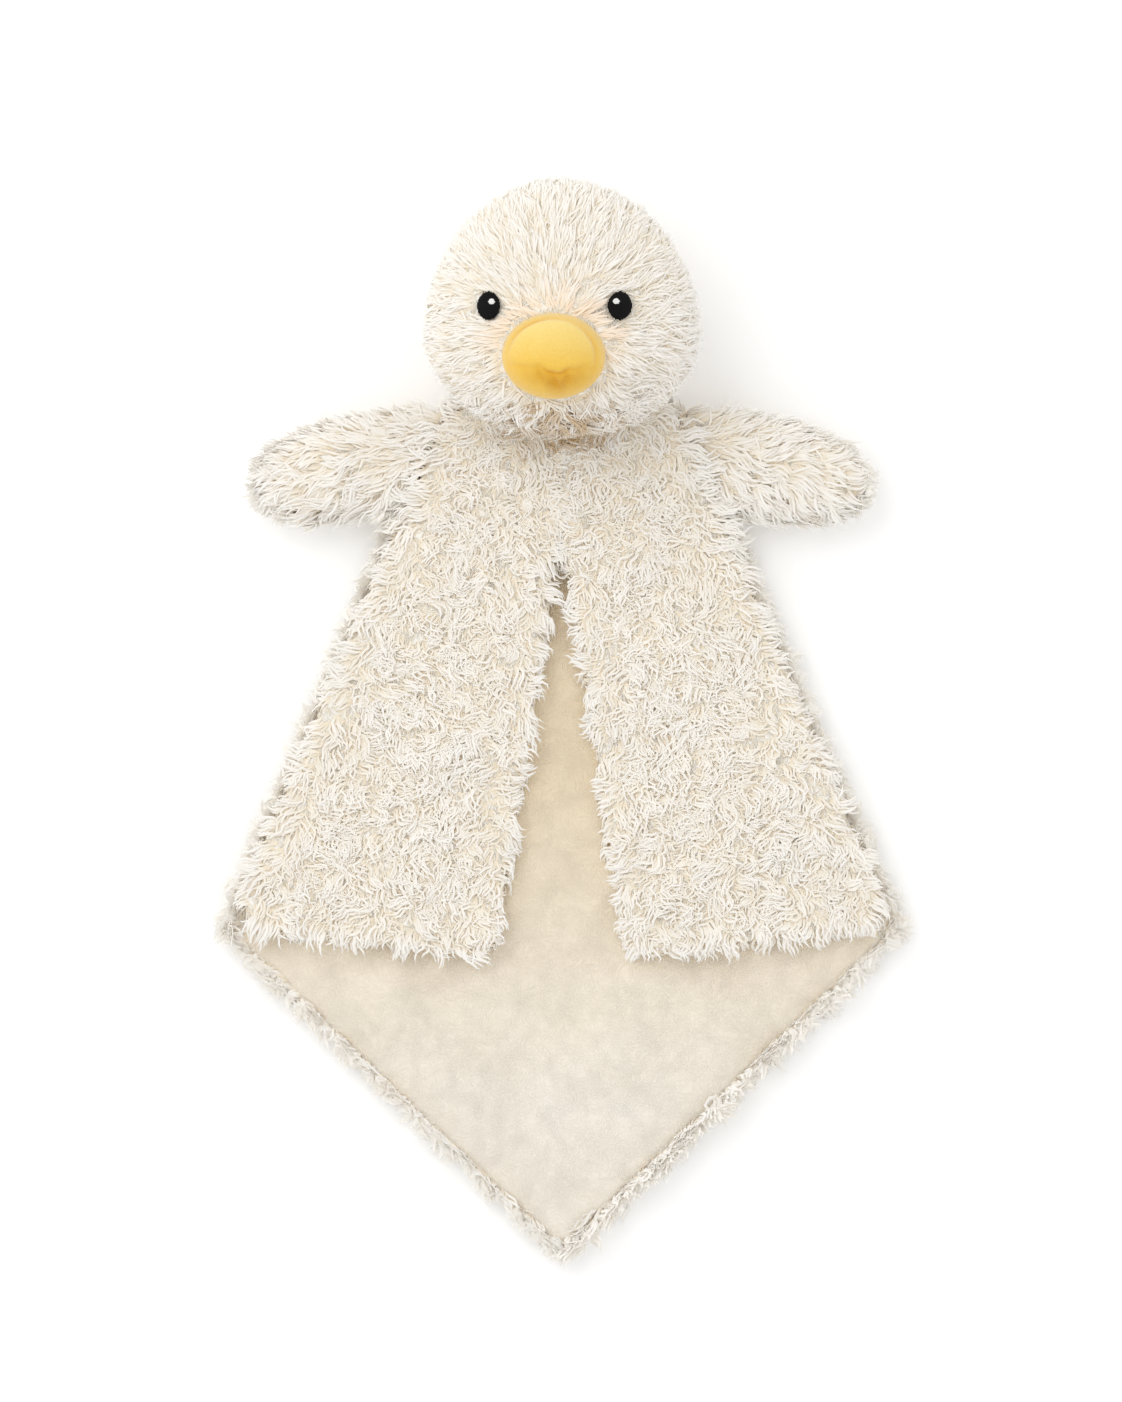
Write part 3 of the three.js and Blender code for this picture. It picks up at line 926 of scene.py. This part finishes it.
for side_name, side in (("left", -1), ("right", 1)):
    bag, places = ball_shape(f"{side_name}_wing_bag", 48, 32)
    places = places[:, [2, 0, 1]]
    reach = np.clip(np.abs(places[:, 0]), 0, 1)
    girth = np.hypot(places[:, 1], places[:, 2])
    full = (1 - reach**wing_fullness) ** (1 / wing_fullness)
    places[:, 1:] *= (full / np.maximum(girth, 1e-6))[:, None]
    places *= np.array([wing_half_length, wing_half_width, wing_half_thick]) - wing_pile_depth
    places[:, 2] += wing_wave_height * ripples(places, wing_wave_size, 40 + side)
    places[:, 2] *= 1 - 0.72 * ramp(places[:, 0], wing_seam_thin_from, -wing_seam_thin_over)
    tip_way = np.array([side * math.cos(wing_droop), -math.sin(wing_droop), 0])
    up_way = np.array([side * math.sin(wing_droop), math.cos(wing_droop), 0])
    wing_centre = np.array([side * wing_centre_out, -wing_centre_drop, wing_height])
    flat_places = wing_centre + places[:, :1] * tip_way + places[:, 1:2] * up_way
    move_to(bag, flat_places + places[:, 2:] * np.array([0, 0, 1]), cape_ground)
    fold_way = unit(np.array([
        side * (hem_corner_half_width - shoulder_half_width), -hem_corner_drop - shoulder_rise,
    ]))
    fold_out = np.array([-fold_way[1], fold_way[0]]) * side
    shoulder = np.array([side * shoulder_half_width, shoulder_rise])
    shoulder = shoulder - fold_out * (side_pile_reach - front_gap)
    bpy.ops.object.mode_set(mode="EDIT")
    bpy.ops.mesh.select_all(action="SELECT")
    bpy.ops.mesh.bisect(plane_co=(*shoulder, 0), plane_no=(*-fold_out, 0), use_fill=True, clear_outer=True)
    bpy.ops.object.mode_set(mode="OBJECT")

    def wing_style(tufts, outs, draw, scatter):
        """Wing pile: soft and short along the upper edge, and long and hanging along the lower one."""
        across = ((tufts - wing_centre) @ up_way) / wing_half_width
        low = np.clip(0.45 - across, 0, 1.2)
        high = np.clip(across + 0.1, 0, 0.9)
        sideways = np.clip(1.2 - np.abs(outs[:, 2]) / 0.6, 0, 1)
        lay = tip_way * (1.1 - 0.2 * low[:, None]) + up_way * (0.9 * high - 0.55 * low)[:, None]
        return {
            "lay": lay + scatter(0.12, 3),
            "length": (8.5 + 2 * low) * mm * draw(0.85, 1.2),
            "stand": draw(0.25, 0.5) + 0.1 * low + 0.45 * sideways,
            "lie": draw(-0.3, 0.05) - 0.15 * low + 0.3 * sideways,
            "curl": draw(0.15, 0.5) + 0.3 * low,
            "waves": draw(0.4, 0.9),
            "phase": draw(0, 2 * math.pi),
            "swirl": scatter(0.18),
            "gather": draw(0.3, 0.7) + 0.4 * low,
            "tone": draw(0.4, 0.95),
            "width": wing_lock_width,
        }

    def past_seam(places, outs):
        """All of the wing but the face that is sewn to the cape."""
        return (places[:, :2] - shoulder) @ fold_out > seam_clearance

    wing_pile = grow_pile(
        f"{side_name}_wing_pile", cape_lock, bag, 50 + side, wing_tuft_gap, wing_locks, past_seam, wing_style,
        cape_pile,
    )
    for piece in (bag, wing_pile):
        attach(piece, f"{side_name}_wing")
    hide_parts(f"{side_name}_wing_stuffing", f"{side_name}_wing_back")
    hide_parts(f"{side_name}_wing_top")


# Head
# A firmly stuffed ball, full at the cheeks, made of two face panels and a back panel of the same plush. Its
# pile is brushed away from the beak, smooth on the brow and curly under the chin.
head_half_width = 45.7 * mm
crown_height = 51.5 * mm
chin_drop = 33 * mm
head_half_depth = 38.5 * mm
head_centre = np.array([0, 29.7 * mm, 38 * mm])
head_flat_at = 3 * mm
head_pile_depth = 1.8 * mm
face_turn = math.radians(4)
bill_half_width = 17 * mm
bill_half_height = 14.2 * mm
bill_depth = 16 * mm
bill_height = 72.5 * mm
bill_rise = 22.1 * mm
brow_rise = 8 * mm
curls_below = 14 * mm
cheek_curls_out = 10 * mm
cheek_curls_below = 45 * mm
# Where the head's locks take painted shade under the chin
head_shade_below = 15 * mm
head_shade_band = 9 * mm
head_shade_half_width = 30 * mm
head_shade_height = 30 * mm
head_shade_height_band = 10 * mm
face_tufts = (2.5 * mm, 20)
nape_tufts = (3.2 * mm, 12)
head_lock_width = 0.32 * mm
# Painted light: the warm glow that the yellow beak throws on the fur just above it
head_beak_glow = (250, 238, 222)
eye_spacing = 43.2 * mm
eye_width = 7.5 * mm
eye_tall = 9.1 * mm
eye_rise = 38.6 * mm
head_lock = strand_shape(((0, 0.75), (0.33, 1), (0.7, 0.8), (1, 0.25)), 3, 1, True)


def turn_face(places):
    """Turns the face's features about the head's upright axis, as the head looks a little to one side."""
    turned = places.copy()
    rise = places[..., 2] - head_centre[2]
    turned[..., 0] = places[..., 0] * math.cos(face_turn) - rise * math.sin(face_turn)
    turned[..., 2] = head_centre[2] + places[..., 0] * math.sin(face_turn) + rise * math.cos(face_turn)
    return turned


def on_face(x, y, above):
    """Places on the face, or above it by a margin. x and y are those before the turn to the side."""
    reach = np.where(y > head_centre[1], crown_height, chin_drop)
    depth = np.sqrt(1 - (x / head_half_width) ** 2 - ((y - head_centre[1]) / reach) ** 2)
    return turn_face(np.stack([x, y, head_centre[2] + head_half_depth * depth + above], axis=-1))


ball, places = ball_shape("head_ball", 64, 40)
half_height = np.where(places[:, 1] > 0, crown_height, chin_drop) - head_pile_depth
places[:, 0] *= head_half_width - head_pile_depth
places[:, 1] *= half_height
places[:, 2] *= head_half_depth - head_pile_depth
places += head_centre
places[:, 2] = np.maximum(places[:, 2], head_flat_at)
move_to(ball, places, cape_ground)
bill_middle = turn_face(np.array([0, bill_rise, bill_height]))


def clear_of_face(lines):
    """Leaves out the locks that would lie across an eye or over the beak."""
    ahead = lines[..., 2] > head_centre[2]
    kept = np.ones(len(lines), bool)
    features = [(bill_middle, bill_half_width, bill_half_height, 0.9)]
    for side in (-1, 1):
        eye_middle = on_face(side * eye_spacing / 2, eye_rise, 0)
        features.append((eye_middle, eye_width / 2, eye_tall / 2, 0.93))
    for middle, half_width, half_height, share in features:
        across = (lines[..., 0] - middle[0]) / half_width
        tall = (lines[..., 1] - middle[1]) / half_height
        kept &= ~((across**2 + tall**2 < share) & ahead).any(axis=1)
    return kept


def head_style(tufts, outs, draw, scatter):
    """Head pile: brushed away from the brow, with soft short tufts above and curls under the chin."""
    x, y, z = tufts.T
    lay = unit(tufts - np.array([bill_middle[0], bill_rise + brow_rise, bill_height]))
    below = ramp(y, curls_below, -curls_below)
    curly = np.clip(below + 0.25 * (x > cheek_curls_out) * (y < cheek_curls_below), 0, 1)
    from_bill = np.hypot((x - bill_middle[0]) / bill_half_width, (y - bill_middle[1]) / bill_half_height) - 1
    # Painted light: locks just above the beak take the glow it throws, as their highest tones
    lit_by_beak = ramp(from_bill, 0.3, -0.3) * ramp(y, bill_rise, brow_rise) * (z > head_centre[2])
    # Painted shade under the chin: tones there are lowered towards a darker, warmer colour, and pale also
    # darkens the locks low in the pile
    under_chin_shade = ramp(y, head_shade_below, -head_shade_band) * np.clip(1.2 - np.abs(x) / head_shade_half_width, 0, 1)
    under_chin_shade = under_chin_shade * ramp(z, head_shade_height, head_shade_height_band)
    under_chin_shade = np.clip(under_chin_shade + scatter(0.15) * (under_chin_shade > 0), 0, 1)
    return {
        "lay": lay + scatter(0.1, 3),
        "length": (8.5 + 2.5 * curly) * mm * draw(0.85, 1.15),
        "stand": draw(0.2, 0.4) + 0.2 * curly,
        "lie": draw(-0.25, -0.05),
        "curl": 0.12 + 0.95 * curly * draw(0, 1),
        "waves": draw(0.4, 1.0),
        "phase": draw(0, 2 * math.pi),
        "swirl": scatter(1) * (0.14 + 0.6 * curly),
        "gather": draw(0.4, 1.0),
        "tone": np.where(lit_by_beak > 0.1, 0.9 + 0.1 * lit_by_beak, draw(0.5, 0.85) * (1 - 0.85 * under_chin_shade)),
        "tone_spread": 0.25,
        "pale": 1 - 0.5 * below,
        "width": head_lock_width,
    }


def panel_of(places):
    """Which of the head's panels covers a place: 0 and 1 are the face's left and right, and 2 is the back."""
    return np.where(places[:, 2] <= head_centre[2], 2, places[:, 0] >= 0)


head_pile = pile_finish("head_pile", head_beak_glow)
for index, (panel, tufts) in enumerate((
    ("face_left", face_tufts), ("face_right", face_tufts), ("head_back", nape_tufts),
)):
    pile = grow_pile(
        f"{panel}_pile", head_lock, ball, 61 + index, *tufts, lambda places, outs: panel_of(places) == index,
        head_style, head_pile, clear_of_face,
    )
    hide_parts(f"{panel}_panel")
    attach(pile, "head")
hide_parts("head_stuffing")
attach(ball, "head")


# Beak
# Two panels of short-nap yellow plush, gathered at the mouth, stuffed, and sewn to the face all round. The
# seam pulls the rim in, so a narrow band shows round the upper part. Its colour holds painted light and
# shade:
# lighter towards the top, a darker gold below the mouth, and darker in the seam, the band and the crease.
mouth_rise = 15.5 * mm
rim_share = 0.86
beak_lit_top = (246, 222, 142)
beak_gold = (243, 200, 88)
beak_mouth_shade = (214, 156, 38)
beak_crease_shade = (222, 156, 34)
beak_grain_tint = (0.97, 0.93, 0.82)
beak_nap_size = 0.7 * mm
beak_patch_size = 6 * mm
beak_patch_shift = 5 * mm
beak_bump = 0.3 * mm

finish = Finish("beak_plush", Roughness=0.8, Specular_IOR_Level=0.2, Sheen_Weight=0.5, Sheen_Roughness=0.4)
rise = finish.node("SeparateXYZ", {}, {0: finish.place()}).out("Y")
nap = finish.noise(beak_nap_size, 4)
patches = finish.noise(beak_patch_size, 3)
bill_band = (bill_rise - bill_half_height, bill_rise + bill_half_height)
# Painted light: the beak is gold low down and lighter towards its top, where the light falls
upward = finish.between(rise + patches * beak_patch_shift, bill_band)
stops = [(0.0, paint(*beak_gold)), (0.45, paint(*beak_gold)), (1.0, paint(*beak_lit_top))]
colour = finish.node("ValToRGB", {"stops": stops}, {0: upward})
grain = finish.between(nap, noise_band)
colour = finish.mix(grain, finish.tinted(colour, beak_grain_tint), colour)
# Painted shade: a darker gold below the mouth, under the upper beak
painted_mouth_shade = finish.node("Attribute", {"attribute_name": "mouth_shade"}, {}, "Fac")
colour = finish.mix(painted_mouth_shade * (grain * 0.4 + 0.7), colour, paint(*beak_mouth_shade))
# Painted shade: darker in the seam's groove, along the rim band, in the mouth crease and in the hollows of
# the puckers
painted_crease_shade = finish.node("Attribute", {"attribute_name": "seam"}, {}, "Fac")
finish.colour(finish.mix(painted_crease_shade * 0.55, colour, paint(*beak_crease_shade)))
finish.bump(nap + patches, beak_bump)

# On a ball of radius 1: the groove of the seam, and the mouth, which dips in the middle and puckers below
beak, places = ball_shape("beak", 128, 96)
x, y, z = places.T.copy()
radial = np.hypot(x, y)
front = z > 0
uneven = 0.65 + 0.35 * np.sin(3 * np.arctan2(y, x) + 1.2)
groove = hump(radial - rim_share, 0.04) * front * ramp(y, -0.55, 1) * uneven
dip = 0.13 * hump(x - 0.1, 0.22) - 0.05 * hump(x + 0.22, 0.1)
ends = 0.08 * x**2 - 0.05 * x + 0.012 * np.sin(x * 23)
from_mouth = y - ((mouth_rise - bill_rise) / bill_half_height + 0.17 - dip + ends)
within = ramp(radial, 0.95, -0.3) * front
crease = hump(from_mouth, 0.05) * within * (0.3 + 8 * np.clip(dip, 0, 0.09))
roll = hump(from_mouth - 0.13, 0.1) * within
puckers = np.sin(x * 24 + 6 * y) * hump(from_mouth + 0.17, 0.14) * hump(x - 0.15, 0.45) * within
band = ramp(radial, rim_share - 0.02, 0.04) * np.clip(y + 0.2, 0, 1) * front
shrink = 1 - 0.05 * groove - 0.05 * crease + 0.02 * roll + 0.03 * puckers
# The seam share holds painted shade for the groove, the band, the crease and the puckers
for name, shares in (
    ("seam", np.clip(0.7 * groove + crease + np.clip(-puckers, 0, 1) + 0.5 * band, 0, 1)),
    # Painted shade below the mouth
    ("mouth_shade", hump(x - 0.1, 0.5) * hump(from_mouth + 0.22, 0.22) * front),
):
    beak.data.attributes.new(name, "FLOAT", "POINT").data.foreach_set("value", shares)
places *= shrink[:, None] * np.array([bill_half_width, bill_half_height, bill_depth])
places += np.array([0, bill_rise, bill_height])
move_to(beak, turn_face(places), finish.material)
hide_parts("beak_upper_panel", "beak_lower_panel", "beak_stuffing")
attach(beak, "head")


# Eyes
# Each eye is a pad of black satin stitch, sewn straight through the fur so that it lies a little sunk in it.
# It has one small round of white stitches on its inner upper part.
thread_width = 0.22 * mm
row_gap = 1.5 * thread_width
layer_shift = 0.75 * thread_width
layer_rise = 0.1 * mm
stitch_scatter = 0.1 * mm
eye_dome = 0.7 * mm
eye_sink = 0.2 * mm
pad_depth = 3 * mm
glint_width = 1.8 * mm
glint_inward = 1.1 * mm
glint_rise = 1.4 * mm
glint_lift = 0.1 * mm
glint_dome = 0.3 * mm
twist_size = 0.25 * mm
twist_height = 0.05 * mm
thread_rings = ((0, 0.35), (0.04, 0.8), (0.12, 1), (0.5, 1), (0.88, 1), (0.96, 0.8), (1, 0.35))
thread = strand_shape(thread_rings, 6, thread_rings[0][1], False)


def thread_finish(name, colour, roughness):
    """Rayon thread: smooth, with a silky shine."""
    finish = Finish(name, Roughness=roughness, Specular_IOR_Level=0.15)
    twist = finish.noise(twist_size, 2)
    finish.colour(finish.mix(twist, darker(colour, 0.7), colour))
    finish.bump(twist, twist_height)
    return finish.material


def stitched_oval(name, width, tall, x, y, base, dome, seed, material):
    """Rows of stitches from edge to edge of an oval, over a domed pad that follows the head."""
    rng = np.random.default_rng(seed)
    lines = []
    for layer in (0, 1):
        for share in np.linspace(-1, 1, int(width / row_gap) + 1) * 0.97:
            half = tall / 2 * math.sqrt(max(1 - share**2, 0.02)) * rng.uniform(0.93, 1.09)
            ys = (thread["rings"] * 2 - 1) * half + rng.normal(0, stitch_scatter)
            xs = np.full(len(ys), share * width / 2) + layer * layer_shift
            bulge = np.clip(1 - (xs / (width / 2)) ** 2 - (ys / (tall / 2)) ** 2, 0, 1) ** 0.5
            lines.append(on_face(x + xs, y + ys, base + dome * bulge + layer * layer_rise))
    lines = np.array(lines)
    count = len(lines)
    outs = unit(lines.mean(axis=1) - head_centre)
    heights = np.full(lines.shape[:2], 0.5)
    widths = np.full(count, thread_width)
    return copy_along(name, thread, lines, widths, 1.0, outs, np.full(count, 0.5), heights, material)


black_thread = thread_finish("black_thread", paint(9, 7, 7), 0.55)
white_thread = thread_finish("white_thread", paint(250, 250, 248), 0.5)
for side_name, side in (("left", -1), ("right", 1)):
    eye_x = side * eye_spacing / 2
    pad, places = ball_shape(f"{side_name}_eye_pad", 40, 24)
    above = places[:, 2] * np.where(places[:, 2] > 0, eye_dome, pad_depth) - eye_sink
    across = eye_x + places[:, 0] * eye_width / 2
    move_to(pad, on_face(across, eye_rise + places[:, 1] * eye_tall / 2, above), black_thread)
    eye = stitched_oval(
        f"{side_name}_eye_stitches", eye_width, eye_tall, eye_x, eye_rise, -eye_sink, eye_dome, 70 + side,
        black_thread,
    )
    glint = stitched_oval(
        f"{side_name}_glint_stitches", glint_width, glint_width, eye_x - side * glint_inward,
        eye_rise + glint_rise, eye_dome + glint_lift, glint_dome, 80 + side, white_thread,
    )
    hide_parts(f"{side_name}_eye")
    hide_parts(f"{side_name}_eye_glint")
    for piece, slot in ((pad, "eye_thread"), (eye, "eye_thread"), (glint, "glint_thread")):
        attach(piece, "head")
